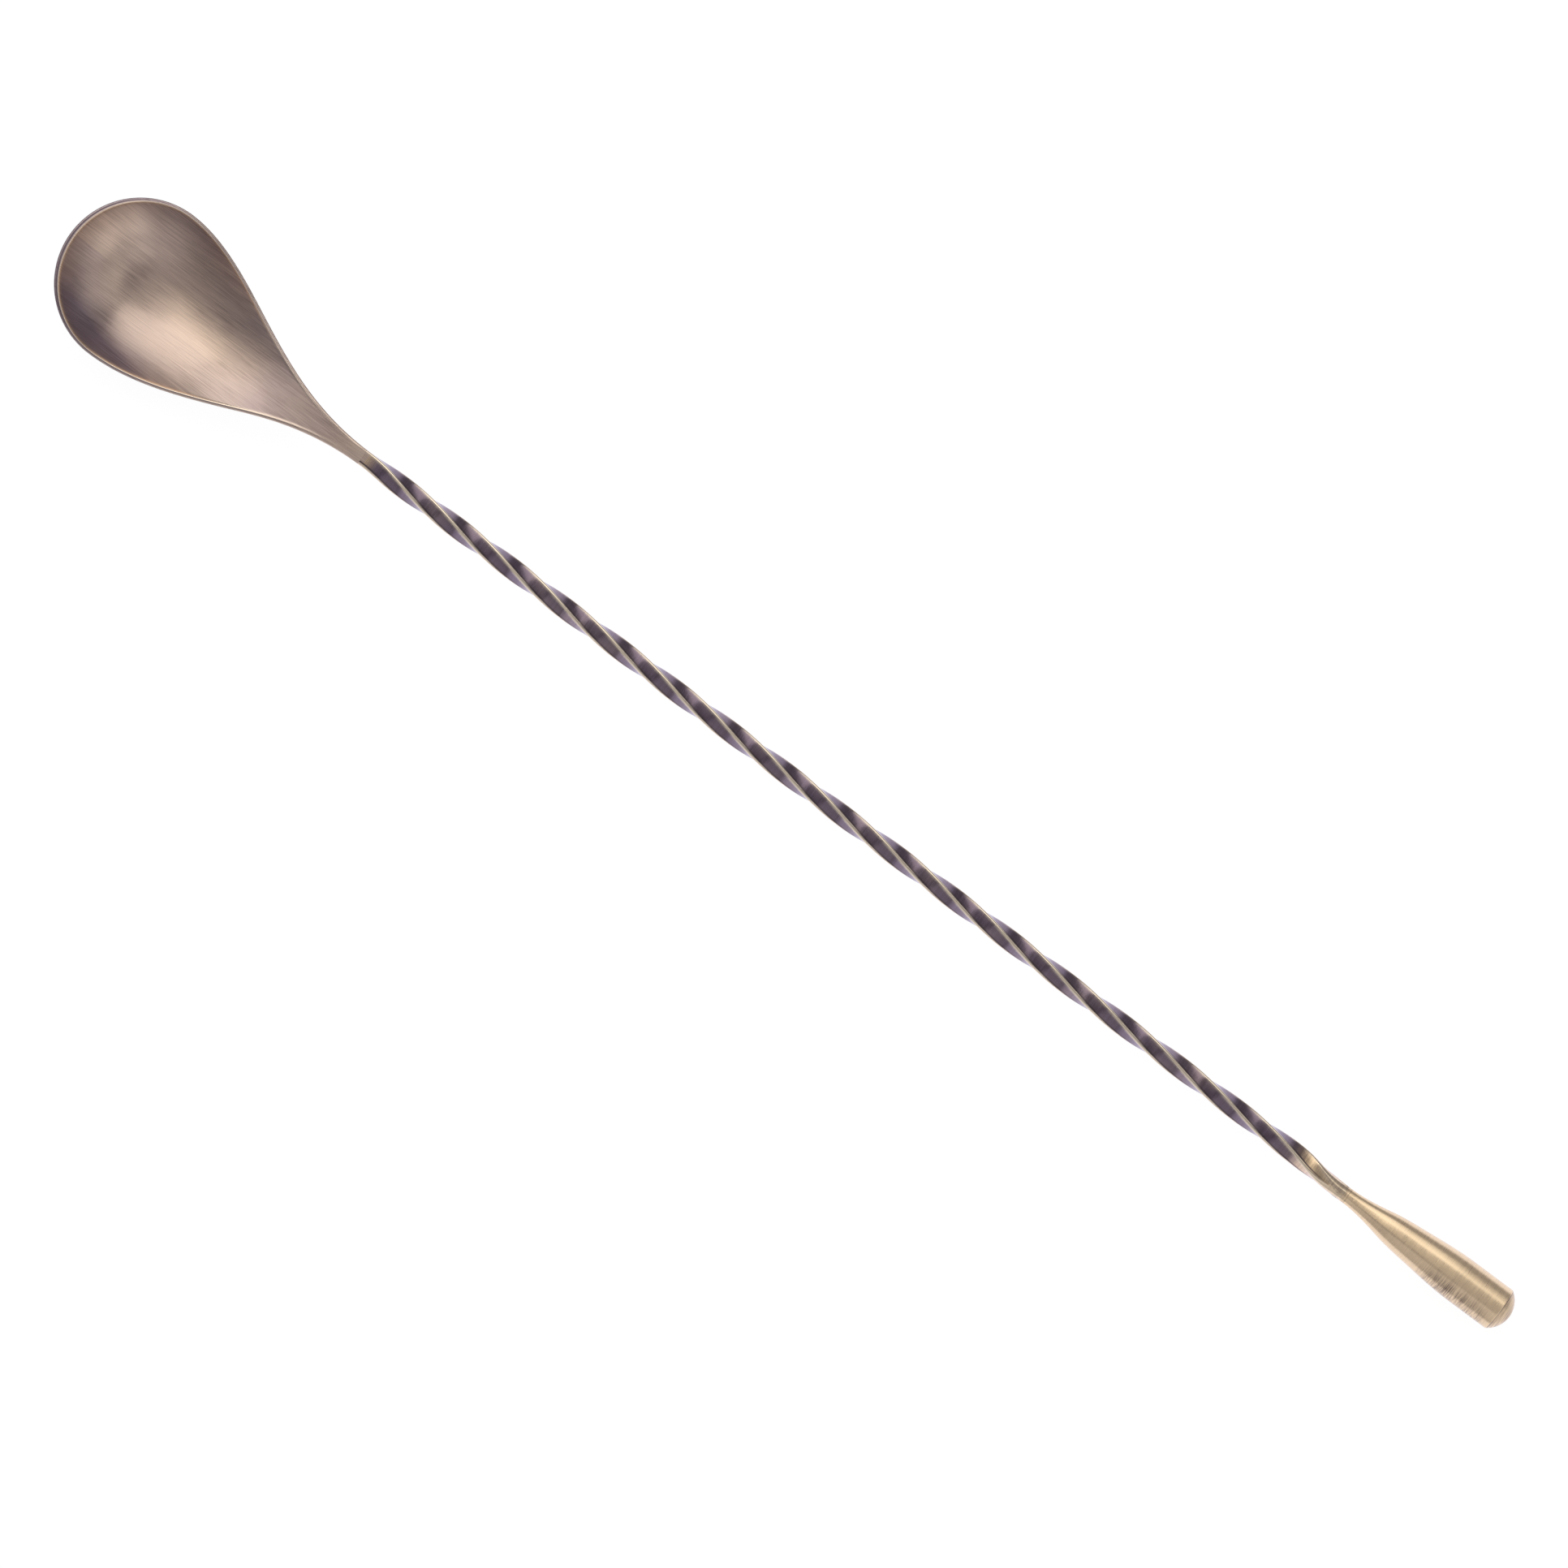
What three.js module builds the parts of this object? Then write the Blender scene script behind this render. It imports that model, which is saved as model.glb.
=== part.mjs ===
// Bar spoon: a stamped teardrop bowl, a twisted square shaft and a turned drop-shaped weight, joined in
// line by two butt welds. Millimetres. The spoon is drawn in its own axes: X runs along the shaft from
// the bowl's tip to the weight's end, the shaft's axis is y = 0, z = 0, and the bowl opens towards +Z.
// It is then tipped into the pose in which it lies on a table, on its bowl and on its weight.
import * as THREE from 'three';

// ---- Driving dimensions ----
const LENGTH = 300;
const TIP_X = -LENGTH / 2;
const END_X = LENGTH / 2;

const BOWL_RADIUS = 14.43;                        // round end of the bowl, seen from above
const BOWL_CENTRE_X = TIP_X + BOWL_RADIUS;        // centre of that round end, where the bowl is widest
const BOWL_DEPTH = 7;                             // inside, below the rim
const BOWL_BASE_THICKNESS = 0.9;                  // at the deepest point
const BOWL_FULLNESS = 1.1;                        // 1 is a paraboloid, more is steeper at the rim
const BOWL_LEAN = 0.95;                           // sideways set of the round end, towards +Y
const LEAN_START_X = -110;
const LEAN_END_X = -136;
const RIM_LOW_X = -124;                           // the rim sags between the neck and the tip
const RIM_LOW_Z = -1;
const RIM_TIP_RISE = 1.2;
const RIM_EDGE_HEIGHT = 0.6;                      // upright edge of the rim
const RIM_EDGE_RADIUS = 0.28;
const LAND_AT_TIP = 0.8;                          // flat band between the outline and the hollow
const LAND_AT_SIDE = 0.5;
const LAND_AT_NECK = 0.55;
const NECK_START_X = -112;                        // from here the thin rim thickens into the neck
const HOLLOW_FADE_X = -121;                       // the hollow runs out into the flat top of the neck
const HOLLOW_END_X = -95;

const BAR_HALF = 1.42;                            // half the square bar, across flats
const BAR_CORNER = 0.4;
const TWIST_START_X = -88.4;                      // the twist eases in from the flat neck
const TWIST_STEADY_X = -83.8;
const TWIST_DATUM_X = -86.1;                      // where the steady twist would have begun
const FIRST_QUARTER = 11.22;                      // length of a quarter turn beside the bowl
const QUARTER_GROWTH = 0.0036;                    // a quarter turn grows by this for each mm along the bar
const ROUNDING_START_X = 107;                     // the square corners are ground away towards the weight
const NECK_RADIUS = 1.385;                        // the round neck at the weight
const END_LEAN = 0.47;                            // sideways set of the weight, towards -Y
const END_LEAN_START_X = 104;

const BOWL_WELD_X = -88.4;
const WEIGHT_WELD_X = 116;
const WELD_LENGTH = 0.8;
const WELD_GAP = 0.1;                             // left between welded faces

const WEIGHT_RADIUS = 3.915;
const WEIGHT_EDGE_X = 147.9;                      // crisp edge where the end dome starts
const WEIGHT_EDGE_CHAMFER = 0.08;

const REST_FLAT_DEPTH = 0.1;                      // polished off the bowl's underside where it rests

// Fineness of the meshes
const FAN_PAST_TIP = 10;                          // the bowl's columns fan out from points on its centreline,
const FAN_PAST_CENTRE = 8;                        // this far past its tip and past its round end's centre
const BAR_STEPS = 128;
const WELD_SEGMENTS = 24;
const WEIGHT_SEGMENTS = 32;

// Half-width of the outline from the round end to the neck: [x, half-width, slope].
const FLANK = [
  [BOWL_CENTRE_X, BOWL_RADIUS, 0],
  [-106, 4.7, -0.375],
  [BOWL_WELD_X, 1.4, 0],
];
// Radius of the weight from its neck to its cylinder: [x, radius, slope].
const WEIGHT_PROFILE = [
  [WEIGHT_WELD_X, NECK_RADIUS, 0],
  [124, 2.41, 0.21],
  [130, 3.2, 0.1],
  [140, WEIGHT_RADIUS, 0],
];

// ---- Curves ----
const lerp = THREE.MathUtils.lerp;
const smoothBetween = (x, x0, x1) => {
  const t = THREE.MathUtils.clamp((x - x0) / (x1 - x0), 0, 1);
  return t * t * (3 - 2 * t);
};

// Smooth curve through knots [x, value, slope]; flat beyond its ends.
function throughKnots(knots, x) {
  const last = knots.length - 1;
  if (x <= knots[0][0]) return knots[0][1];
  if (x >= knots[last][0]) return knots[last][1];
  const i = knots.findIndex((knot) => knot[0] > x) - 1;
  const [x0, v0, m0] = knots[i];
  const [x1, v1, m1] = knots[i + 1];
  const span = x1 - x0;
  const t = (x - x0) / span;
  const startWeight = (1 + 2 * t) * (1 - t) ** 2;
  const startSlopeWeight = t * (1 - t) ** 2;
  const endSlopeWeight = t * t * (t - 1);
  return v0 * startWeight + v1 * (1 - startWeight) + span * (m0 * startSlopeWeight + m1 * endSlopeWeight);
}

// ---- Bowl surfaces ----
const neckBlend = (x) => smoothBetween(x, NECK_START_X, BOWL_WELD_X);
const edgeHeight = (x) => lerp(RIM_EDGE_HEIGHT, 2 * FLANK[2][1], neckBlend(x));
const edgeRadius = (x) => lerp(RIM_EDGE_RADIUS, BAR_CORNER, neckBlend(x));
const leanAt = (x) => BOWL_LEAN * smoothBetween(x, LEAN_START_X, LEAN_END_X);
const endLeanAt = (x) => -END_LEAN * smoothBetween(x, END_LEAN_START_X, WEIGHT_WELD_X - WELD_LENGTH);

// Height of the rim's top: level with the bar at the neck, low beside the hollow, higher at the tip.
function rimHeight(x) {
  if (x < RIM_LOW_X) return RIM_LOW_Z + RIM_TIP_RISE * ((RIM_LOW_X - x) / (RIM_LOW_X - TIP_X)) ** 2;
  return lerp(RIM_LOW_Z, FLANK[2][1], smoothBetween(x, RIM_LOW_X, BOWL_WELD_X));
}

// Square of the half-width of an outline whose round end has the given half-length and half-width.
function squaredHalfWidth(x, roundLength, roundWidth, inset) {
  if (x < BOWL_CENTRE_X) return roundWidth ** 2 * (1 - ((x - BOWL_CENTRE_X) / roundLength) ** 2);
  return Math.max(0, throughKnots(FLANK, x) - inset) ** 2;
}

// How full the hollow is at a point: 0 on its outline, 1 at the middle of the round end.
function fullness(x, y, roundLength, roundWidth, inset) {
  const share = (squaredHalfWidth(x, roundLength, roundWidth, inset) - y * y) / roundWidth ** 2;
  return 1 - (1 - THREE.MathUtils.clamp(share, 0, 1)) ** BOWL_FULLNESS;
}

function hollowHeight(x, y) {
  const length = BOWL_RADIUS - LAND_AT_TIP;
  const width = BOWL_RADIUS - LAND_AT_SIDE;
  const fade = smoothBetween(x, HOLLOW_FADE_X, HOLLOW_END_X);
  return rimHeight(x) - (1 - fade) * BOWL_DEPTH * fullness(x, y, length, width, LAND_AT_SIDE);
}

function undersideHeight(x, y) {
  const bulge = BOWL_DEPTH + BOWL_BASE_THICKNESS - RIM_EDGE_HEIGHT;
  return rimHeight(x) - edgeHeight(x) - bulge * fullness(x, y, BOWL_RADIUS, BOWL_RADIUS, 0);
}

// ---- Resting pose ----
// The table touches the weight's lower edge and the bowl's underside, a little inside its lowest point.
const BOWL_CONTACT_X = BOWL_CENTRE_X + 1;
const BOWL_CONTACT_Z = undersideHeight(BOWL_CONTACT_X, 0) + REST_FLAT_DEPTH;
const TABLE_SLOPE = (-WEIGHT_RADIUS - BOWL_CONTACT_Z) / (WEIGHT_EDGE_X - BOWL_CONTACT_X);
const tableHeight = (x) => BOWL_CONTACT_Z + TABLE_SLOPE * (x - BOWL_CONTACT_X);

// ---- Meshes ----
function meshFrom(name, positions, triangles, colour) {
  const geometry = new THREE.BufferGeometry();
  geometry.setAttribute('position', new THREE.Float32BufferAttribute(positions.flat(), 3));
  geometry.setIndex(triangles);
  geometry.computeVertexNormals();
  return named(name, geometry, colour);
}

function named(name, geometry, colour) {
  const material = new THREE.MeshStandardMaterial({ color: colour, roughness: 0.38, metalness: 1 });
  const mesh = new THREE.Mesh(geometry, material);
  mesh.name = name;
  return mesh;
}

// Solid through a row of closed sections, each a list of [y, z] that turns from +Y to +Z, at rising x.
function loft(name, stations, sectionAt, colour) {
  const positions = stations.flatMap((x) => sectionAt(x).map(([y, z]) => [x, y, z]));
  const count = sectionAt(stations[0]).length;
  const last = (stations.length - 1) * count;
  const triangles = [];
  for (let start = 0; start < last; start += count) {
    for (let k = 0; k < count; k += 1) {
      const next = (k + 1) % count;
      triangles.push(start + k, start + next, start + count + k);
      triangles.push(start + next, start + count + next, start + count + k);
    }
  }
  for (let k = 1; k < count - 1; k += 1) {
    triangles.push(0, k + 1, k);
    triangles.push(last, last + k, last + k + 1);
  }
  return meshFrom(name, positions, triangles, colour);
}

const evenSteps = (from, to, count) => Array.from({ length: count + 1 }, (_, i) => lerp(from, to, i / count));

// Square with rounded corners, turned about its centre.
function roundedSquare(half, corner, turn, arcSteps) {
  const points = [];
  for (let quarter = 0; quarter < 4; quarter += 1) {
    for (let step = 0; step <= arcSteps; step += 1) {
      const angle = (step / arcSteps) * (Math.PI / 2);
      const y = half - corner + corner * Math.cos(angle);
      const z = half - corner + corner * Math.sin(angle);
      const swing = turn + (quarter * Math.PI) / 2;
      points.push([y * Math.cos(swing) - z * Math.sin(swing), y * Math.sin(swing) + z * Math.cos(swing)]);
    }
  }
  return points;
}

// ---- Sub-parts ----
// The bowl is laid out in columns that run from its centreline, up the hollow, over the rim and back
// under it. Column 0 is at the tip; the others come in pairs, one on each side, as far as the neck.
function spoonBowl() {
  const roundSteps = 14;
  const flankSteps = 20;
  const neckSteps = 12;
  const hollowSteps = 7;
  const neckEndX = BOWL_WELD_X - WELD_LENGTH / 2 - WELD_GAP;
  const fanEndX = BOWL_CENTRE_X + FAN_PAST_CENTRE;
  const fanShare = (fanEndX - (TIP_X + FAN_PAST_TIP)) / (fanEndX - TIP_X);
  const cornerTurns = [Math.PI / 2, Math.PI / 4, 0];

  const outline = [];
  for (let i = 0; i < roundSteps; i += 1) {
    const angle = (i / roundSteps) * (Math.PI / 2);
    const [cosine, sine] = [Math.cos(angle), Math.sin(angle)];
    outline.push({ x: BOWL_CENTRE_X - BOWL_RADIUS * cosine, y: BOWL_RADIUS * sine, inX: cosine, inY: -sine });
  }
  const flankXs = evenSteps(BOWL_CENTRE_X, NECK_START_X, flankSteps);
  const neckXs = evenSteps(NECK_START_X, neckEndX, neckSteps).slice(1);
  for (const x of [...flankXs, ...neckXs]) {
    const reach = 0.01;
    const slope = (throughKnots(FLANK, x + reach) - throughKnots(FLANK, x - reach)) / (2 * reach);
    const norm = Math.hypot(1, slope);
    outline.push({ x, y: throughKnots(FLANK, x), inX: slope / norm, inY: -1 / norm });
  }

  const landWidth = (point) => {
    if (point.x < BOWL_CENTRE_X) return lerp(LAND_AT_SIDE, LAND_AT_TIP, point.inX ** 2);
    return lerp(LAND_AT_SIDE, LAND_AT_NECK, neckBlend(point.x));
  };
  const spineX = (x) => (x < fanEndX ? fanEndX - (fanEndX - x) * fanShare : x);
  const inset = (point, distance) => [point.x + point.inX * distance, point.y + point.inY * distance];

  // One column of [x, y, z] for the +Y side, from the hollow's spine to the underside's spine.
  const columnAt = (point) => {
    const column = [];
    const centreX = spineX(point.x);
    const top = rimHeight(point.x);
    const radius = edgeRadius(point.x);
    const bottom = top - edgeHeight(point.x);
    const [landX, landY] = inset(point, landWidth(point));
    for (let k = 0; k < hollowSteps; k += 1) {
      const share = k / hollowSteps;
      const x = lerp(centreX, landX, share);
      const y = lerp(0, landY, share);
      column.push([x, y, hollowHeight(x, y)]);
    }
    column.push([landX, landY, rimHeight(landX)]);
    for (const turn of cornerTurns) {
      const [x, y] = inset(point, radius * (1 - Math.cos(turn)));
      column.push([x, y, top - radius * (1 - Math.sin(turn))]);
    }
    for (const turn of [...cornerTurns].reverse()) {
      const [x, y] = inset(point, radius * (1 - Math.cos(turn)));
      column.push([x, y, bottom + radius * (1 - Math.sin(turn))]);
    }
    const [lowX, lowY] = inset(point, Math.max(radius * 2, landWidth(point)));
    for (let k = 0; k <= hollowSteps; k += 1) {
      const share = k / hollowSteps;
      const x = lerp(lowX, centreX, share);
      const y = lerp(lowY, 0, share);
      column.push([x, y, undersideHeight(x, y)]);
    }
    return column;
  };

  const positions = [];
  const add = ([x, y, z]) => positions.push([x, y + leanAt(x), Math.max(z, tableHeight(x))]) - 1;
  const columns = outline.map((point) => {
    const column = columnAt(point);
    const left = column.map(add);
    const right = [...left];
    if (point !== outline[0]) {
      for (let k = 1; k < column.length - 1; k += 1) {
        const [x, y, z] = column[k];
        right[k] = add([x, -y, z]);
      }
    }
    return { left, right };
  });

  const triangles = [];
  const rows = columns[0].left.length;
  for (let i = 0; i < columns.length - 1; i += 1) {
    for (let k = 0; k < rows - 1; k += 1) {
      const [a, b, c, d] = [columns[i].left[k], columns[i].left[k + 1],
        columns[i + 1].left[k], columns[i + 1].left[k + 1]];
      triangles.push(a, c, b, b, c, d);
      const [e, f, g, h] = [columns[i].right[k], columns[i].right[k + 1],
        columns[i + 1].right[k], columns[i + 1].right[k + 1]];
      triangles.push(e, f, g, f, h, g);
    }
  }
  const end = columns[columns.length - 1];
  for (let k = 0; k < rows - 1; k += 1) {
    if (k > 0) triangles.push(end.left[0], end.left[k + 1], end.left[k]);
    if (k < rows - 2) triangles.push(end.left[0], end.right[k], end.right[k + 1]);
  }
  triangles.push(end.left[0], end.right[rows - 2], end.left[rows - 1]);
  return meshFrom('spoon_bowl', positions, triangles, 0x96826f);
}

// Turn of the square bar, in radians, right-handed about +X.
function twistAt(x) {
  const fromDatum = (at) => {
    const along = at - TWIST_DATUM_X;
    return along / (FIRST_QUARTER + QUARTER_GROWTH * along / 2);
  };
  if (x <= TWIST_START_X) return 0;
  const steady = fromDatum(TWIST_STEADY_X);
  const eased = steady * ((x - TWIST_START_X) / (TWIST_STEADY_X - TWIST_START_X)) ** 2;
  const quarters = x < TWIST_STEADY_X ? eased : fromDatum(x);
  return (quarters * Math.PI) / 2;
}

function barSection(x) {
  const neckHalf = FLANK[2][1];
  const rounding = smoothBetween(x, ROUNDING_START_X, WEIGHT_WELD_X - WELD_LENGTH);
  const full = lerp(neckHalf, BAR_HALF, smoothBetween(x, BOWL_WELD_X, TWIST_STEADY_X));
  const half = lerp(full, NECK_RADIUS, rounding);
  const corner = lerp(BAR_CORNER, NECK_RADIUS - 0.001, rounding);
  return roundedSquare(half, corner, twistAt(x), 3).map(([y, z]) => [y + endLeanAt(x), z]);
}

function twistedShaft() {
  const from = BOWL_WELD_X + WELD_LENGTH / 2 + WELD_GAP;
  const to = WEIGHT_WELD_X - WELD_LENGTH / 2 - WELD_GAP;
  return loft('twisted_shaft', evenSteps(from, to, BAR_STEPS), barSection, 0xa08a68);
}

function bowlWeld() {
  const stations = evenSteps(BOWL_WELD_X - WELD_LENGTH / 2, BOWL_WELD_X + WELD_LENGTH / 2, 2);
  return loft('bowl_weld', stations, () => roundedSquare(FLANK[2][1], BAR_CORNER, 0, 3), 0x96826f);
}

// Turns a profile of [x, radius] about the weight's axis. It starts and ends on the axis.
function turned(name, profile, segments, colour) {
  const points = profile.map(([x, radius]) => new THREE.Vector2(radius, x));
  const mesh = named(name, new THREE.LatheGeometry(points, segments), colour);
  mesh.rotation.z = -Math.PI / 2;
  mesh.position.y = -END_LEAN;
  return mesh;
}

function weightWeld() {
  const [from, to] = [WEIGHT_WELD_X - WELD_LENGTH / 2, WEIGHT_WELD_X + WELD_LENGTH / 2];
  const profile = [[from, 0], [from, NECK_RADIUS], [to, NECK_RADIUS], [to, 0]];
  return turned('weight_weld', profile, WELD_SEGMENTS, 0xb59c74);
}

function dropWeight() {
  const from = WEIGHT_WELD_X + WELD_LENGTH / 2 + WELD_GAP;
  const profile = [[from, 0]];
  for (const x of evenSteps(from, WEIGHT_PROFILE[3][0], 18)) profile.push([x, throughKnots(WEIGHT_PROFILE, x)]);
  profile.push([WEIGHT_EDGE_X - WEIGHT_EDGE_CHAMFER, WEIGHT_RADIUS]);
  const domeFoot = WEIGHT_RADIUS - WEIGHT_EDGE_CHAMFER;
  const domeHeight = END_X - WEIGHT_EDGE_X;
  const domeRadius = (domeFoot ** 2 + domeHeight ** 2) / (2 * domeHeight);
  const domeSweep = Math.asin(domeFoot / domeRadius);
  for (const share of evenSteps(1, 0, 6)) {
    const angle = share * domeSweep;
    profile.push([END_X - domeRadius * (1 - Math.cos(angle)), domeRadius * Math.sin(angle)]);
  }
  profile[profile.length - 1][1] = 0;
  return turned('drop_weight', profile, WEIGHT_SEGMENTS, 0xb59c74);
}

// ---- Assembly ----
const spoon = new THREE.Group();
spoon.add(spoonBowl(), bowlWeld(), twistedShaft(), weightWeld(), dropWeight());
spoon.rotation.y = Math.atan(TABLE_SLOPE);

// The origin is under the middle of the spoon's box, on the table.
const box = new THREE.Box3().setFromObject(spoon, true);
const middle = box.getCenter(new THREE.Vector3());
spoon.position.set(-middle.x, -middle.y, -box.min.z);

const group = new THREE.Group();
group.add(spoon);

export default group;
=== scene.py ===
"""Bar spoon in brushed antique brass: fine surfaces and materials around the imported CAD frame.

Metres throughout. The spoon is built in its own axes, with the shaft's axis along X and the bowl open
towards +Z, and is then laid into the CAD's pose. MM turns a size in millimetres into metres.
"""
import math

import bpy
from mathutils import Matrix, Vector


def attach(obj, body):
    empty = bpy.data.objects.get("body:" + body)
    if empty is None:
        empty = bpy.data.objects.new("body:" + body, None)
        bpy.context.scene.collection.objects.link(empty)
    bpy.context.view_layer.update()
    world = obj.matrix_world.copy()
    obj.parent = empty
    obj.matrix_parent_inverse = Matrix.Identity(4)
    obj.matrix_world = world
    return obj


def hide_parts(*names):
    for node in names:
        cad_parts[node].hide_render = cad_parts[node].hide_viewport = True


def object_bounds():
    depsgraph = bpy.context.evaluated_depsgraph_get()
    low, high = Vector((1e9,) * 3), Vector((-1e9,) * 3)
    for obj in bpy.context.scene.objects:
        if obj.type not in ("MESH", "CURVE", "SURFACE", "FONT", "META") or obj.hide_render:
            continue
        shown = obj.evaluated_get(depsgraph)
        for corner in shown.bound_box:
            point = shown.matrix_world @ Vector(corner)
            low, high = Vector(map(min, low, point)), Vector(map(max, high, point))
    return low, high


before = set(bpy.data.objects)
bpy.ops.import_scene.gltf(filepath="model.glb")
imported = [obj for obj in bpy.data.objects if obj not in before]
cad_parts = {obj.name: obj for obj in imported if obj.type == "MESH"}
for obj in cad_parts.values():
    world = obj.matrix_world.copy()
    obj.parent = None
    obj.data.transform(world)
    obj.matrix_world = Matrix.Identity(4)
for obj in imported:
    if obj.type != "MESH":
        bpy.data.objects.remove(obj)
cad_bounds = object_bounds()

MM = 0.001

# ---- Shape of the spoon, in its own axes ----
LENGTH = 300 * MM
TIP_X = -LENGTH / 2
END_X = LENGTH / 2

BOWL_RADIUS = 14.43 * MM
BOWL_CENTRE_X = TIP_X + BOWL_RADIUS
BOWL_DEPTH = 7 * MM
BOWL_BASE_THICKNESS = 0.9 * MM
BOWL_FULLNESS = 1.1
BOWL_LEAN = 0.95 * MM
LEAN_START_X = -110 * MM
LEAN_END_X = -136 * MM
RIM_LOW_X = -124 * MM
RIM_LOW_Z = -1 * MM
RIM_TIP_RISE = 1.2 * MM
RIM_EDGE_HEIGHT = 0.6 * MM
RIM_EDGE_RADIUS = 0.28 * MM
RIM_INNER_SOFTNESS = 0.1 * MM
LIP_HEIGHT = 0.12 * MM
LIP_WIDTH = 0.21 * MM
LAND_AT_TIP = 0.8 * MM
LAND_AT_SIDE = 0.5 * MM
LAND_AT_NECK = 0.55 * MM
NECK_START_X = -112 * MM
HOLLOW_FADE_X = -121 * MM
HOLLOW_END_X = -95 * MM

BAR_HALF = 1.42 * MM
BAR_CORNER = 0.4 * MM
TWIST_START_X = -88.4 * MM
TWIST_STEADY_X = -83.8 * MM
TWIST_DATUM_X = -86.1 * MM
FIRST_QUARTER = 11.22 * MM
QUARTER_GROWTH = 0.0036
ROUNDING_START_X = 107 * MM
NECK_RADIUS = 1.385 * MM
NECK_HALF = 1.4 * MM
ROUNDEST_CORNER = 0.999  # in neck radii
END_LEAN = 0.47 * MM
END_LEAN_START_X = 104 * MM

BOWL_WELD_X = -88.4 * MM
WEIGHT_WELD_X = 116 * MM
WELD_LENGTH = 0.8 * MM

WEIGHT_RADIUS = 3.915 * MM
WEIGHT_EDGE_X = 147.9 * MM
WEIGHT_EDGE_RADIUS = 0.1 * MM
REST_FLAT_DEPTH = 0.1 * MM

# Half-width of the bowl's flank, and radius of the weight: (x, value, slope).
FLANK = [
    (BOWL_CENTRE_X, BOWL_RADIUS, 0),
    (-106 * MM, 4.7 * MM, -0.375),
    (BOWL_WELD_X, NECK_HALF, 0),
]
WEIGHT_PROFILE = [
    (WEIGHT_WELD_X, NECK_RADIUS, 0),
    (124 * MM, 2.41 * MM, 0.21),
    (130 * MM, 3.2 * MM, 0.1),
    (140 * MM, WEIGHT_RADIUS, 0),
]

# ---- Fineness of the meshes ----
FAN_PAST_TIP = 10 * MM
FAN_PAST_CENTRE = 8 * MM
COLUMN_STEP = 0.35 * MM
ROUND_COLUMNS = 72
HOLLOW_ROWS = 40
RIM_BAND = 0.35 * MM
RIM_ROWS = 16
FILLET_ROWS = 5
RIM_END = 1.01  # in edge radii from the outline
UNDERSIDE_START = 1.2  # in edge radii from the outline
SLOPE_REACH = 0.01 * MM
BAR_STEP = 0.25 * MM
BAR_CORNER_STEPS = 8
FLAT_COARSE_STEPS = 5
FLAT_COARSE_END = 0.45 * MM  # short of the rounded corner, as the next two are
FLAT_FINE_START = 0.36 * MM
FLAT_FINE_END = 0.04 * MM
FLAT_FINE_STEPS = 6
WELD_STEPS = 6
TURNED_SEGMENTS = 128
WEIGHT_STEPS = 120
WEIGHT_EDGE_STEPS = 6
DOME_STEPS = 36
DOME_TIP_SHARE = 0.02
DOME_INSET = 0.05 * MM
SHARP_ANGLE = math.radians(50)

# ---- Wear (1 is bright, below 0 is a painted shade line) and tarnishing (1 is dark, on the bowl partly painted shade) over the surfaces ----
# The rim's outer edge is tarnished round the tip and turns gilt along the flanks.
GILT_START_X = -146 * MM
GILT_FULL_X = -131 * MM
EDGE_WEAR_AT_TIP = 0.1
EDGE_WEAR_GILT = 0.4
EDGE_TARNISH_GILT = 0.3
# A bright line follows the hollow's edge, with a painted shade line beside it on the rim.
BRIGHT_LINE_INSET = 0.04 * MM
BRIGHT_LINE_WIDTH = 0.22 * MM
DARK_LINE_OUTSET = 0.25 * MM
DARK_LINE_WIDTH = 0.11 * MM
DARK_LINE_STRENGTH = 0.8
RIM_TARNISH_FADE = 0.2 * MM
# Painted shade darkens the hollow up its wall; tarnishing darkens it along its neck and clears towards the
# weld.
WALL_SHADE = 0.3
WALL_END_X = -120 * MM
NECK_FULL_X = -104 * MM
NECK_TARNISH = 0.35
NECK_CLEAN_FROM_X = -98 * MM
NECK_PATCH_X = -108 * MM
NECK_PATCH_WIDTH = 4 * MM
NECK_PATCH_TARNISH = 0.25
UNDERSIDE_TARNISH = 0.3
# Painted shade darkens a crescent on each side of the bowl, and a patch on the -Y side.
PLUS_Y_CRESCENT_X = -129 * MM
PLUS_Y_CRESCENT_STRENGTH = 0.8
MINUS_Y_CRESCENT_X = -136 * MM
MINUS_Y_CRESCENT_STRENGTH = 6
CRESCENT_WIDTH = 9 * MM
MINUS_Y_PATCH_X = -140 * MM
MINUS_Y_PATCH_WIDTH = 5.5 * MM
MINUS_Y_PATCH_STRENGTH = 1.5
WELD_POLISH_REACH = 5 * MM
WELD_POLISH_WEAR = 0.35

# The bar's ridges are worn bright and fade into the flats, with a painted shade line along one side.
RIDGE_WEAR = 0.8
RIDGE_PEAK_WEAR = 0.2
SHOULDER_WEAR = 0.45
SHOULDER_WIDTH = 0.13 * MM
SHADE_LINE_GAP = 0.16 * MM
SHADE_LINE_WIDTH = 0.15 * MM
SHADE_LINE_STRENGTH = 1.4
ROUND_END_WEAR = 0.5
BAR_TARNISH_START_X = BOWL_WELD_X - 1 * MM
BAR_TARNISH_FULL_X = -85.5 * MM
BAR_TARNISH_FADE_X = 103.5 * MM
BAR_TARNISH_END_X = 109 * MM

# The weight is worn all over, except for a scratched patch on its -Y side and a painted shade ring on its
# dome.
WEIGHT_WELD_WEAR = 0.6
WEIGHT_WEAR = 0.88
WEIGHT_EDGE_WEAR = 1
SCRATCHED_WEAR = 0.2
SCRATCHES_START_X = 131 * MM
SCRATCHES_FULL_X = 137 * MM
SCRATCHES_FADE_X = 144 * MM
SCRATCHES_SIDE_START = 0.1  # share of the radius towards -Y, as the next is
SCRATCHES_SIDE_FULL = 0.7
DOME_WEAR = 0.5
DOME_SHADE_RING = -0.4
DOME_RING_START = 0.93  # share of the way from the dome's middle to its rim, as the next is
DOME_RING_FULL = 0.97

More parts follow.
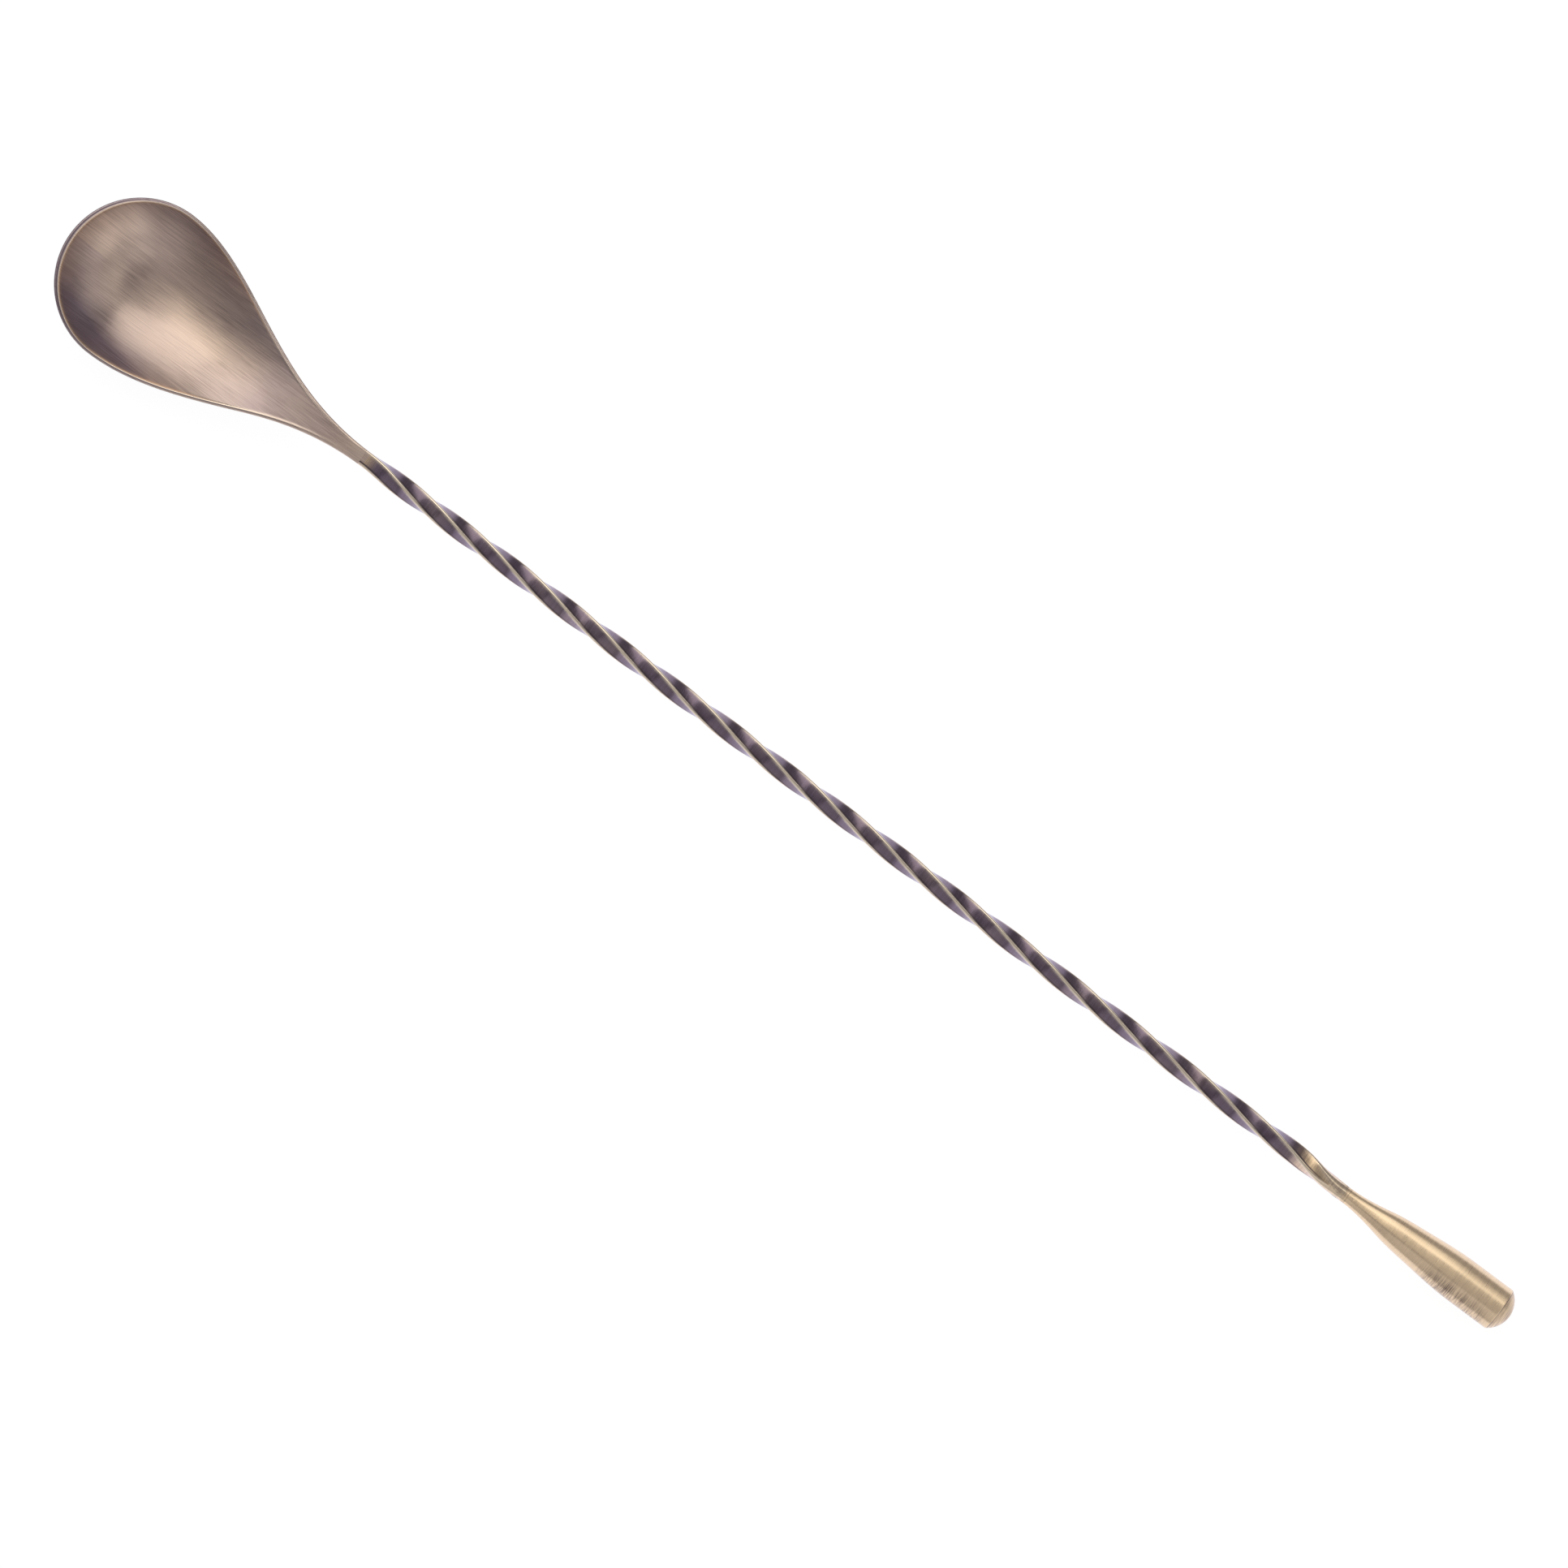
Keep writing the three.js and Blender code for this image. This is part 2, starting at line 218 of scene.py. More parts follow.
# ---- Brushed metal ----
COAT_ROUGHNESS = 0.2
# Colour of the painted shade lines, where the worn value is below 0.
PAINTED_SHADE_COLOUR = (0.12, 0.09, 0.09)
STROKE_COLOUR = (0.12, 0.07, 0.07)
STROKE_RANGE = (0.36, 0.64)
STROKE_POLISH_START = 0.4
PATCH_STRETCH = (130, 200, 200)
PATCH_RANGE = (0.38, 0.62)
PATCH_STRENGTH = (0.75, 1.1)
CLOUD_STRETCH = (90, 130, 130)
CLOUD_RANGE = (0.35, 0.65)
CLOUD_TARNISH = 0.07
ROUGHNESS_RANGE = (0.3, 0.7)
ROUGHNESS_SPREAD = 0.05
BUMP_STRENGTH = 0.3
BUMP_HEIGHT = 0.006 * MM

# ---- Studio ----
FLOOR_HALF_WIDTH = 2
FLOOR_DROP = 0.05 * MM
FLOOR_GLOW = 0.93
FLOOR_GREY = 0.15
LIGHT_DISTANCE = 3
# The surroundings are grey above a tilted horizon and pale below it, as over a white sweep.
HORIZON_TILT = (0, 0.15, 1)
HORIZON_TOP = -0.05
HORIZON_BOTTOM = -0.3
ROOM_COLOUR = (0.255, 0.245, 0.275)
SWEEP_COLOUR = (0.93, 0.92, 1.04)
CAMERA_LENS = 300
CAMERA_SENSOR = 36
CAMERA_X = -0.05 * MM
CAMERA_Y = -2.58 * MM
CAMERA_TURN = math.radians(36.75)
CAMERA_CLIP_END = 20
FRAME_WIDTH = 261.15 * MM
FOCUS_HEIGHT = 6 * MM


# ---- Curves ----
def lerp(a, b, t):
    return a + (b - a) * t


def smooth_between(x, x0, x1):
    t = min(1, max(0, (x - x0) / (x1 - x0)))
    return t * t * (3 - 2 * t)


def even_steps(start, end, count):
    return [lerp(start, end, i / count) for i in range(count + 1)]


def bell(x, centre, width):
    """1 at the centre, fading to almost nothing about two widths away."""
    return math.exp(-((x - centre) / width) ** 2)


def through_knots(knots, x):
    """Smooth curve through knots (x, value, slope), flat beyond its ends."""
    if x <= knots[0][0]:
        return knots[0][1]
    if x >= knots[-1][0]:
        return knots[-1][1]
    i = next(k for k in range(1, len(knots)) if knots[k][0] >= x)
    x0, v0, m0 = knots[i - 1]
    x1, v1, m1 = knots[i]
    span = x1 - x0
    t = (x - x0) / span
    start_weight = (1 + 2 * t) * (1 - t) ** 2
    slopes = m0 * t * (1 - t) ** 2 + m1 * t * t * (t - 1)
    return v0 * start_weight + v1 * (1 - start_weight) + span * slopes


# ---- Bowl surfaces ----
def neck_blend(x):
    return smooth_between(x, NECK_START_X, BOWL_WELD_X)


def edge_height(x):
    return lerp(RIM_EDGE_HEIGHT, 2 * NECK_HALF, neck_blend(x))


def edge_radius(x):
    return lerp(RIM_EDGE_RADIUS, BAR_CORNER, neck_blend(x))


def lean_at(x):
    return BOWL_LEAN * smooth_between(x, LEAN_START_X, LEAN_END_X)


def end_lean_at(x):
    return -END_LEAN * smooth_between(x, END_LEAN_START_X, WEIGHT_WELD_X - WELD_LENGTH)


def rim_height(x):
    if x < RIM_LOW_X:
        return RIM_LOW_Z + RIM_TIP_RISE * ((RIM_LOW_X - x) / (RIM_LOW_X - TIP_X)) ** 2
    return lerp(RIM_LOW_Z, NECK_HALF, smooth_between(x, RIM_LOW_X, BOWL_WELD_X))


def lip_height(x):
    """Height of the fine bead that runs round the hollow's edge and fades out at the neck."""
    return LIP_HEIGHT * (1 - neck_blend(x))


def share_inside(x, y, round_length, round_width, inset):
    """1 at the middle of the round end, 0 on the outline, negative outside it."""
    if x < BOWL_CENTRE_X:
        width_squared = round_width ** 2 * (1 - ((x - BOWL_CENTRE_X) / round_length) ** 2)
    else:
        width_squared = max(0, through_knots(FLANK, x) - inset) ** 2
    return (width_squared - y * y) / round_width ** 2


def fullness(share):
    if share < 0:
        return BOWL_FULLNESS * share
    return 1 - (1 - min(share, 1)) ** BOWL_FULLNESS


def hollow_height(x, y):
    share = share_inside(x, y, BOWL_RADIUS - LAND_AT_TIP, BOWL_RADIUS - LAND_AT_SIDE, LAND_AT_SIDE)
    sharp = BOWL_DEPTH * fullness(share)
    softened = (sharp + math.hypot(sharp, RIM_INNER_SOFTNESS)) / 2
    return rim_height(x) - lip_height(x) - softened * (1 - smooth_between(x, HOLLOW_FADE_X, HOLLOW_END_X))


def underside_height(x, y):
    bulge = BOWL_DEPTH + BOWL_BASE_THICKNESS - RIM_EDGE_HEIGHT
    share = max(0, share_inside(x, y, BOWL_RADIUS, BOWL_RADIUS, 0))
    return rim_height(x) - edge_height(x) - bulge * fullness(share)


BOWL_CONTACT_X = BOWL_CENTRE_X + 1 * MM
BOWL_CONTACT_Z = underside_height(BOWL_CONTACT_X, 0) + REST_FLAT_DEPTH
TABLE_SLOPE = (-WEIGHT_RADIUS - BOWL_CONTACT_Z) / (WEIGHT_EDGE_X - BOWL_CONTACT_X)


def table_height(x):
    return BOWL_CONTACT_Z + TABLE_SLOPE * (x - BOWL_CONTACT_X)


# ---- Mesh making ----
def make_piece(name, vertices, faces, wear_and_shade, tarnish_and_shade):
    """Mesh whose points know how worn (below 0: painted shade lines) and how tarnished the metal is there,
    with painted shade added to the tarnishing on the bowl.
    """
    mesh = bpy.data.meshes.new(name)
    mesh.from_pydata(vertices, [], faces)
    mesh.update()
    mesh.shade_smooth()
    mesh.set_sharp_from_angle(angle=SHARP_ANGLE)
    for label, values in (("wear_and_shade", wear_and_shade), ("tarnish_and_shade", tarnish_and_shade)):
        attribute = mesh.attributes.new(label, "FLOAT", "POINT")
        attribute.data.foreach_set("value", values)
    piece = bpy.data.objects.new(name, mesh)
    bpy.context.scene.collection.objects.link(piece)
    return piece


def loft(name, stations, section_at, tarnish_at=lambda x: 0):
    """Capped solid through sections, each a list of (y, z, wear) that turns from +Y to +Z."""
    vertices = []
    wear_and_shade = []
    tarnish_and_shade = []
    for x in stations:
        for y, z, worn in section_at(x):
            vertices.append((x, y, z))
            wear_and_shade.append(worn)
            tarnish_and_shade.append(tarnish_at(x))
    count = len(vertices) // len(stations)
    last = len(vertices) - count
    faces = []
    for start in range(0, last, count):
        for k in range(count):
            following = (k + 1) % count
            faces.append((start + k, start + following, start + count + following, start + count + k))
    faces.append(tuple(reversed(range(count))))
    faces.append(tuple(range(last, last + count)))
    return make_piece(name, vertices, faces, wear_and_shade, tarnish_and_shade)


# ---- Bowl ----
def bowl_outline():
    """Points (x, y, inward x, inward y) of the +Y side, from the tip to the neck's end."""
    points = []
    for i in range(ROUND_COLUMNS):
        angle = (i / ROUND_COLUMNS) * math.pi / 2
        cosine, sine = math.cos(angle), math.sin(angle)
        points.append((BOWL_CENTRE_X - BOWL_RADIUS * cosine, BOWL_RADIUS * sine, cosine, -sine))
    end = BOWL_WELD_X - WELD_LENGTH / 2
    for x in even_steps(BOWL_CENTRE_X, end, round((end - BOWL_CENTRE_X) / COLUMN_STEP)):
        rise = through_knots(FLANK, x + SLOPE_REACH) - through_knots(FLANK, x - SLOPE_REACH)
        slope = rise / (2 * SLOPE_REACH)
        norm = math.hypot(1, slope)
        points.append((x, through_knots(FLANK, x), slope / norm, -1 / norm))
    return points


def land_width(x, inward_x):
    """Width of the rim's flat land, from the outline to the hollow's edge."""
    if x < BOWL_CENTRE_X:
        return lerp(LAND_AT_SIDE, LAND_AT_TIP, inward_x ** 2)
    return lerp(LAND_AT_SIDE, LAND_AT_NECK, neck_blend(x))


def wall_shade_and_neck_tarnish(x, y):
    """Painted shade inside the hollow up its wall, and tarnishing along its neck."""
    depth_share = (rim_height(x) - hollow_height(x, y)) / BOWL_DEPTH
    # Painted shade, darker up the wall towards the rim.
    wall = WALL_SHADE * (1 - depth_share) ** 2
    neck = NECK_TARNISH * (1 - smooth_between(x, NECK_CLEAN_FROM_X, BOWL_WELD_X))
    neck += NECK_PATCH_TARNISH * bell(x, NECK_PATCH_X, NECK_PATCH_WIDTH)
    return lerp(wall, neck, smooth_between(x, WALL_END_X, NECK_FULL_X))


def rim_wear_and_shade_lines(distance, land):
    """Worn bright line and painted shade line across the rim, at a distance in from the outline."""
    bright = bell(distance, land + BRIGHT_LINE_INSET, BRIGHT_LINE_WIDTH)
    # Painted shade line on the rim, beside the bright line.
    dark = bell(distance, land - DARK_LINE_OUTSET, DARK_LINE_WIDTH)
    return bright - DARK_LINE_STRENGTH * dark


def bowl_column(x, y, inward_x, inward_y):
    """One column of (x, y, z, worn value, tarnished value), both with painted shade, from the hollow's
    middle, over the rim, to the underside.
    """
    fan_end = BOWL_CENTRE_X + FAN_PAST_CENTRE
    fan_share = (fan_end - (TIP_X + FAN_PAST_TIP)) / (fan_end - TIP_X)
    centre_x = fan_end - (fan_end - x) * fan_share if x < fan_end else x
    top = rim_height(x) - lip_height(x)
    radius = edge_radius(x)
    bottom = rim_height(x) - edge_height(x)
    land = land_width(x, inward_x)
    inner = land + RIM_BAND
    rim_share = 1 - neck_blend(x)
    gilt = smooth_between(x, GILT_START_X, GILT_FULL_X)
    edge = (lerp(EDGE_WEAR_AT_TIP, EDGE_WEAR_GILT, gilt), rim_share * lerp(1, EDGE_TARNISH_GILT, gilt))
    column = []

    def inset(distance):
        return x + inward_x * distance, y + inward_y * distance

    start_x, start_y = inset(inner)
    for k in range(HOLLOW_ROWS):
        share = k / HOLLOW_ROWS
        px, py = lerp(centre_x, start_x, share), lerp(0, start_y, share)
        column.append((px, py, hollow_height(px, py), 0, wall_shade_and_neck_tarnish(px, py)))
    for distance in even_steps(inner, radius * RIM_END, RIM_ROWS):
        px, py = inset(distance)
        height = hollow_height(px, py) + lip_height(x) * bell(distance, land, LIP_WIDTH)
        in_hollow = smooth_between(distance, land - RIM_TARNISH_FADE, land)
        tarnish_and_shade = lerp(rim_share, wall_shade_and_neck_tarnish(px, py), in_hollow)
        column.append((px, py, height, rim_wear_and_shade_lines(distance, land) * rim_share, tarnish_and_shade))
    turns = even_steps(math.pi / 2, 0, FILLET_ROWS)
    for turn in turns:
        px, py = inset(radius * (1 - math.cos(turn)))
        column.append((px, py, top - radius * (1 - math.sin(turn)), *edge))
    for turn in reversed(turns):
        px, py = inset(radius * (1 - math.cos(turn)))
        column.append((px, py, bottom + radius * (1 - math.sin(turn)), *edge))
    low_x, low_y = inset(radius * UNDERSIDE_START)
    for share in even_steps(0, 1, HOLLOW_ROWS):
        px, py = lerp(low_x, centre_x, share), lerp(low_y, 0, share)
        column.append((px, py, underside_height(px, py), 0, UNDERSIDE_TARNISH * rim_share))
    return column


def tarnish_with_painted_shade(x, y, tarnished):
    """Tarnished value with painted shade added: a darker crescent on either side and a patch on the -Y
    side.
    """
    if y > 0:
        return tarnished * (1 + PLUS_Y_CRESCENT_STRENGTH * bell(x, PLUS_Y_CRESCENT_X, CRESCENT_WIDTH))
    crescent = MINUS_Y_CRESCENT_STRENGTH * bell(x, MINUS_Y_CRESCENT_X, CRESCENT_WIDTH)
    patch = MINUS_Y_PATCH_STRENGTH * math.sqrt(tarnished) * bell(x, MINUS_Y_PATCH_X, MINUS_Y_PATCH_WIDTH)
    return tarnished * (1 + crescent) + patch


def build_bowl():
    vertices = []
    wear_and_shade = []
    tarnish_and_shade = []

    def add(x, y, z, worn, tarnished):
        near_weld = smooth_between(x, BOWL_WELD_X - WELD_POLISH_REACH, BOWL_WELD_X)
        vertices.append((x, y + lean_at(x), max(z, table_height(x))))
        wear_and_shade.append(lerp(worn, WELD_POLISH_WEAR, near_weld))
        # Painted shade: darker crescents on both sides and a patch on the -Y side.
        tarnish_and_shade.append(tarnish_with_painted_shade(x, y, tarnished))
        return len(vertices) - 1

    columns = []
    for number, point in enumerate(bowl_outline()):
        column = bowl_column(*point)
        left = [add(*place) for place in column]
        right = list(left)
        if number:
            for k in range(1, len(column) - 1):
                x, y, *rest = column[k]
                right[k] = add(x, -y, *rest)
        columns.append((left, right))
    rows = len(columns[0][0])
    faces = []
    for (left, right), (next_left, next_right) in zip(columns, columns[1:]):
        for k in range(rows - 1):
            faces.append((left[k], next_left[k], next_left[k + 1], left[k + 1]))
            faces.append((right[k], right[k + 1], next_right[k + 1], next_right[k]))
    left, right = columns[-1]
    faces.append(tuple(reversed(left)) + tuple(right[1:-1]))
    return make_piece("bowl_surface", vertices, faces, wear_and_shade, tarnish_and_shade)


# ---- Shaft, welds and weight ----
def quarters_at(x):
    """Quarter turns of the twist at x, which lengthen slowly towards the weight."""
    along = (x - TWIST_DATUM_X) / MM
    return along / (FIRST_QUARTER / MM + QUARTER_GROWTH * along / 2)


def twist_at(x):
    """Turn of the square bar in radians, right-handed about +X."""
    if x <= TWIST_START_X:
        return 0
    if x >= TWIST_STEADY_X:
        return quarters_at(x) * math.pi / 2
    share = (x - TWIST_START_X) / (TWIST_STEADY_X - TWIST_START_X)
    return quarters_at(TWIST_STEADY_X) * share ** 2 * math.pi / 2


def rounded_square(half, corner, turn):
    """Section points (y, z, worn value) of a square bar, worn bright along its rounded corners, with a
    painted shade line on each flat beside a corner.
    """
    flat = half - corner
    flat_steps = (even_steps(-flat, flat - FLAT_COARSE_END, FLAT_COARSE_STEPS)
                  + even_steps(flat - FLAT_FINE_START, flat - FLAT_FINE_END, FLAT_FINE_STEPS))
    side = []
    for z in flat_steps:
        shoulder = SHOULDER_WEAR * math.exp(-(flat - abs(z)) / SHOULDER_WIDTH)
        # Painted shade line on the flat, just short of the corner.
        side.append((half, z, shoulder - SHADE_LINE_STRENGTH * bell(z, flat - SHADE_LINE_GAP, SHADE_LINE_WIDTH)))
    for angle in even_steps(0, math.pi / 2, BAR_CORNER_STEPS)[:-1]:
        ridge = RIDGE_WEAR + RIDGE_PEAK_WEAR * math.sin(2 * angle) ** 2
        side.append((flat + corner * math.cos(angle), flat + corner * math.sin(angle), ridge))
    points = []
    for quarter in range(4):
        swing = turn + quarter * math.pi / 2
        for y, z, worn in side:
            points.append((y * math.cos(swing) - z * math.sin(swing),
                           y * math.sin(swing) + z * math.cos(swing), worn))
    return points


def bar_section(x):
    rounding = smooth_between(x, ROUNDING_START_X, WEIGHT_WELD_X - WELD_LENGTH)
    full = lerp(NECK_HALF, BAR_HALF, smooth_between(x, BOWL_WELD_X, TWIST_STEADY_X))
    half = lerp(full, NECK_RADIUS, rounding)
    corner = lerp(BAR_CORNER, NECK_RADIUS * ROUNDEST_CORNER, rounding)
    return [(y + end_lean_at(x), z, lerp(worn, ROUND_END_WEAR, rounding))
            for y, z, worn in rounded_square(half, corner, twist_at(x))]


def bar_tarnish(x):
    """The bar is tarnished between its welds and bright beside them."""
    from_bowl = smooth_between(x, BAR_TARNISH_START_X, BAR_TARNISH_FULL_X)
    to_weight = smooth_between(x, BAR_TARNISH_FADE_X, BAR_TARNISH_END_X)
    return from_bowl * (1 - to_weight)


def build_shaft():
    start = BOWL_WELD_X + WELD_LENGTH / 2
    end = WEIGHT_WELD_X - WELD_LENGTH / 2
    stations = even_steps(start, end, round((end - start) / BAR_STEP))
    return loft("shaft_surface", stations, bar_section, bar_tarnish)


def weld_stations(x):
    return even_steps(x - WELD_LENGTH / 2, x + WELD_LENGTH / 2, WELD_STEPS)


def build_bowl_weld():
    return loft("bowl_weld_surface", weld_stations(BOWL_WELD_X),
                lambda x: rounded_square(NECK_HALF, BAR_CORNER, 0))


def ring_section(radius, worn, scratched=0):
    """Ring points (y, z, wear); a scratched ring is less worn on its -Y side, which shows the brushing."""
    points = []
    for k in range(TURNED_SEGMENTS):
        angle = 2 * math.pi * k / TURNED_SEGMENTS
        cosine, sine = math.cos(angle), math.sin(angle)
        share = scratched * smooth_between(-cosine, SCRATCHES_SIDE_START, SCRATCHES_SIDE_FULL)
        points.append((radius * cosine - END_LEAN, radius * sine, lerp(worn, SCRATCHED_WEAR, share)))
    return points


def build_weight_weld():
    return loft("weight_weld_surface", weld_stations(WEIGHT_WELD_X),
                lambda x: ring_section(NECK_RADIUS, WEIGHT_WELD_WEAR))


def weight_profile():
    """Rings (x, radius, worn value) of the weight: its body, its rounded edge and its dome, with a painted
    shade ring at the dome's foot.
    """
    start = WEIGHT_WELD_X + WELD_LENGTH / 2
    profile = [(x, through_knots(WEIGHT_PROFILE, x), WEIGHT_WEAR)
               for x in even_steps(start, WEIGHT_EDGE_X - WEIGHT_EDGE_RADIUS, WEIGHT_STEPS)]
    dome_foot = WEIGHT_RADIUS - DOME_INSET
    dome_height = END_X - WEIGHT_EDGE_X
    dome_radius = (dome_foot ** 2 + dome_height ** 2) / (2 * dome_height)
    dome_sweep = math.asin(dome_foot / dome_radius)
    for share in even_steps(0, 1, WEIGHT_EDGE_STEPS)[1:]:
        angle = share * (math.pi / 2 - dome_sweep)
        profile.append((WEIGHT_EDGE_X - WEIGHT_EDGE_RADIUS * (1 - math.sin(angle)),
                        WEIGHT_RADIUS - WEIGHT_EDGE_RADIUS * (1 - math.cos(angle)), WEIGHT_EDGE_WEAR))
    for share in even_steps(1, DOME_TIP_SHARE, DOME_STEPS):
        angle = share * dome_sweep
        # Painted shade ring at the foot of the dome.
        worn = lerp(DOME_WEAR, DOME_SHADE_RING, smooth_between(share, DOME_RING_START, DOME_RING_FULL))
        profile.append((END_X - dome_radius * (1 - math.cos(angle)), dome_radius * math.sin(angle), worn))
    return profile


def build_weight():
    ring_at = {x: (radius, worn) for x, radius, worn in weight_profile()}

    def section(x):
        scratched = smooth_between(x, SCRATCHES_START_X, SCRATCHES_FULL_X)
        scratched *= 1 - smooth_between(x, SCRATCHES_FADE_X, WEIGHT_EDGE_X)
        return ring_section(*ring_at[x], scratched)

    return loft("weight_surface", sorted(ring_at), section)


# ---- Materials ----
class NodeMaker:
    """Short ways of adding nodes to one material and wiring them up."""

    def __init__(self, material):
        material.use_nodes = True
        self.nodes = material.node_tree.nodes
        self.links = material.node_tree.links
        self.nodes.clear()

    def noise(self, place, stretch, detail, roughness):
        mapping = self.nodes.new("ShaderNodeMapping")
        mapping.inputs["Scale"].default_value = stretch
        self.links.new(place, mapping.inputs[0])
        texture = self.nodes.new("ShaderNodeTexNoise")
        texture.inputs["Scale"].default_value = 1
        texture.inputs["Detail"].default_value = detail
        texture.inputs["Roughness"].default_value = roughness
        self.links.new(mapping.outputs[0], texture.inputs["Vector"])
        return texture.outputs["Fac"]

    def remap(self, value, low, high, to_low, to_high):
        node = self.nodes.new("ShaderNodeMapRange")
        node.inputs["From Min"].default_value = low
        node.inputs["From Max"].default_value = high
        node.inputs["To Min"].default_value = to_low
        node.inputs["To Max"].default_value = to_high
        self.links.new(value, node.inputs["Value"])
        return node.outputs[0]

    def combine(self, operation, first, second):
        """Two numbers joined by ADD, SUBTRACT or MULTIPLY."""
        node = self.nodes.new("ShaderNodeMath")
        node.operation = operation
        self.links.new(first, node.inputs[0])
        self.links.new(second, node.inputs[1])
        return node.outputs[0]

    def attribute(self, name):
        node = self.nodes.new("ShaderNodeAttribute")
        node.attribute_name = name
        return node.outputs["Fac"]

    def blend(self, share, first, second):
        """Colour blend; each side is a node's output or a plain colour."""
        node = self.nodes.new("ShaderNodeMix")
        node.data_type = "RGBA"
        self.links.new(share, node.inputs["Factor"])
        for socket, side in (("A", first), ("B", second)):
            if isinstance(side, tuple):
                node.inputs[socket].default_value = side + (1,)
            else:
                self.links.new(side, node.inputs[socket])
        return node.outputs["Result"]


def brushed_brass(name, clean, tarnished, worn, metallic, edge_tint, brush, brush_depth, across,
                  anisotropy, roughness, polish, coat):
    """Antique brass brushed along the spoon or across it, tarnished, worn and darkened with painted shade
    as the mesh says.
    """
    material = bpy.data.materials.new(name)
    maker = NodeMaker(material)
    output = maker.nodes.new("ShaderNodeOutputMaterial")
    shader = maker.nodes.new("ShaderNodeBsdfPrincipled")
    shader.inputs["Metallic"].default_value = metallic
    shader.inputs["Anisotropic"].default_value = anisotropy
    shader.inputs["Specular Tint"].default_value = edge_tint + (1,)
    shader.inputs["Coat Weight"].default_value = coat
    shader.inputs["Coat Roughness"].default_value = COAT_ROUGHNESS
    maker.links.new(shader.outputs[0], output.inputs[0])

    place = maker.nodes.new("ShaderNodeTexCoord").outputs["Object"]
    strokes = maker.noise(place, brush, detail=4, roughness=0.65)
    clouds = maker.noise(place, CLOUD_STRETCH, detail=3, roughness=0.5)
    patches = maker.noise(place, PATCH_STRETCH, detail=2, roughness=0.5)
    wear_and_shade = maker.attribute("wear_and_shade")

    dark_strokes = maker.combine("MULTIPLY", maker.remap(strokes, *STROKE_RANGE, brush_depth, 0),
                                 maker.remap(patches, *PATCH_RANGE, *PATCH_STRENGTH))
    dark_strokes = maker.combine("MULTIPLY", dark_strokes,
                                 maker.remap(wear_and_shade, STROKE_POLISH_START, 1, 1, 0))
    tarnish_and_shade = maker.combine("ADD", maker.attribute("tarnish_and_shade"),
                            maker.remap(clouds, *CLOUD_RANGE, -CLOUD_TARNISH, CLOUD_TARNISH))
    metal = maker.blend(tarnish_and_shade, clean, tarnished)
    metal = maker.blend(wear_and_shade, metal, worn)
    # Below 0 the worn value paints a shade line.
    metal = maker.blend(maker.remap(wear_and_shade, 0, -1, 0, 1), metal, PAINTED_SHADE_COLOUR)
    metal = maker.blend(dark_strokes, metal, STROKE_COLOUR)
    maker.links.new(metal, shader.inputs["Base Color"])

    rough = maker.remap(strokes, *ROUGHNESS_RANGE, roughness - ROUGHNESS_SPREAD,
                        roughness + ROUGHNESS_SPREAD)
    smoother = maker.remap(wear_and_shade, 0, 1, 0, polish)
    maker.links.new(maker.combine("SUBTRACT", rough, smoother), shader.inputs["Roughness"])

    bump = maker.nodes.new("ShaderNodeBump")
    bump.inputs["Strength"].default_value = BUMP_STRENGTH
    bump.inputs["Distance"].default_value = BUMP_HEIGHT
    maker.links.new(strokes, bump.inputs["Height"])
    maker.links.new(bump.outputs[0], shader.inputs["Normal"])

    grain = maker.nodes.new("ShaderNodeCombineXYZ")
    grain.inputs["X"].default_value = 1 if across else 0
    grain.inputs["Y"].default_value = 0 if across else 1
    maker.links.new(grain.outputs[0], shader.inputs["Tangent"])
    return material


# ---- Assembly ----
def lay_down(pieces):
    """Tips the pieces into the resting pose and puts the middle of their box where the CAD's is."""
    for piece in pieces:
        piece.data.transform(Matrix.Rotation(math.atan(TABLE_SLOPE), 4, "Y"))
    corners = [vertex.co for piece in pieces for vertex in piece.data.vertices]
    low = [min(corner[axis] for corner in corners) for axis in range(3)]
    high = [max(corner[axis] for corner in corners) for axis in range(3)]
    cad_low, cad_high = cad_bounds
    shift = Vector([(cad_low[axis] + cad_high[axis] - low[axis] - high[axis]) / 2 for axis in range(2)]
                   + [cad_low[2] - low[2]])
    for piece in pieces:
        piece.data.transform(Matrix.Translation(shift))


bowl = build_bowl()
bowl_weld = build_bowl_weld()
shaft = build_shaft()
weight_weld = build_weight_weld()
weight = build_weight()
lay_down([bowl, bowl_weld, shaft, weight_weld, weight])

bowl_metal = brushed_brass(
    "bowl_brass", clean=(0.73, 0.575, 0.455), tarnished=(0.335, 0.27, 0.3), worn=(1.0, 0.84, 0.65),
    metallic=1, edge_tint=(1, 1, 1), brush=(170, 6500, 90), brush_depth=0.4, across=False,
    anisotropy=0.3, roughness=0.35, polish=0.06, coat=0.25)
shaft_metal = brushed_brass(
    "shaft_brass", clean=(0.98, 0.74, 0.44), tarnished=(0.205, 0.155, 0.2), worn=(1.0, 0.87, 0.64),
    metallic=1, edge_tint=(0.94, 0.88, 0.99), brush=(2500, 120, 120), brush_depth=0.35, across=True,
    anisotropy=0.5, roughness=0.25, polish=0.1, coat=0.6)
weight_metal = brushed_brass(
    "weight_brass", clean=(0.98, 0.77, 0.5), tarnished=(0.6, 0.45, 0.34), worn=(1.0, 0.78, 0.49),
    metallic=0.88, edge_tint=(1, 1, 1), brush=(6000, 330, 330), brush_depth=0.75, across=True,
    anisotropy=0.78, roughness=0.36, polish=0.06, coat=0.25)

for piece, node, slot, metal in (
    (bowl, "spoon_bowl", "bowl_brass", bowl_metal),
    (bowl_weld, "bowl_weld", "weld_brass", bowl_metal),
    (shaft, "twisted_shaft", "shaft_brass", shaft_metal),
    (weight_weld, "weight_weld", "weld_brass", weight_metal),
    (weight, "drop_weight", "weight_brass", weight_metal),
):
    piece.data.materials.append(metal)
    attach(piece, "root")
    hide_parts(node)


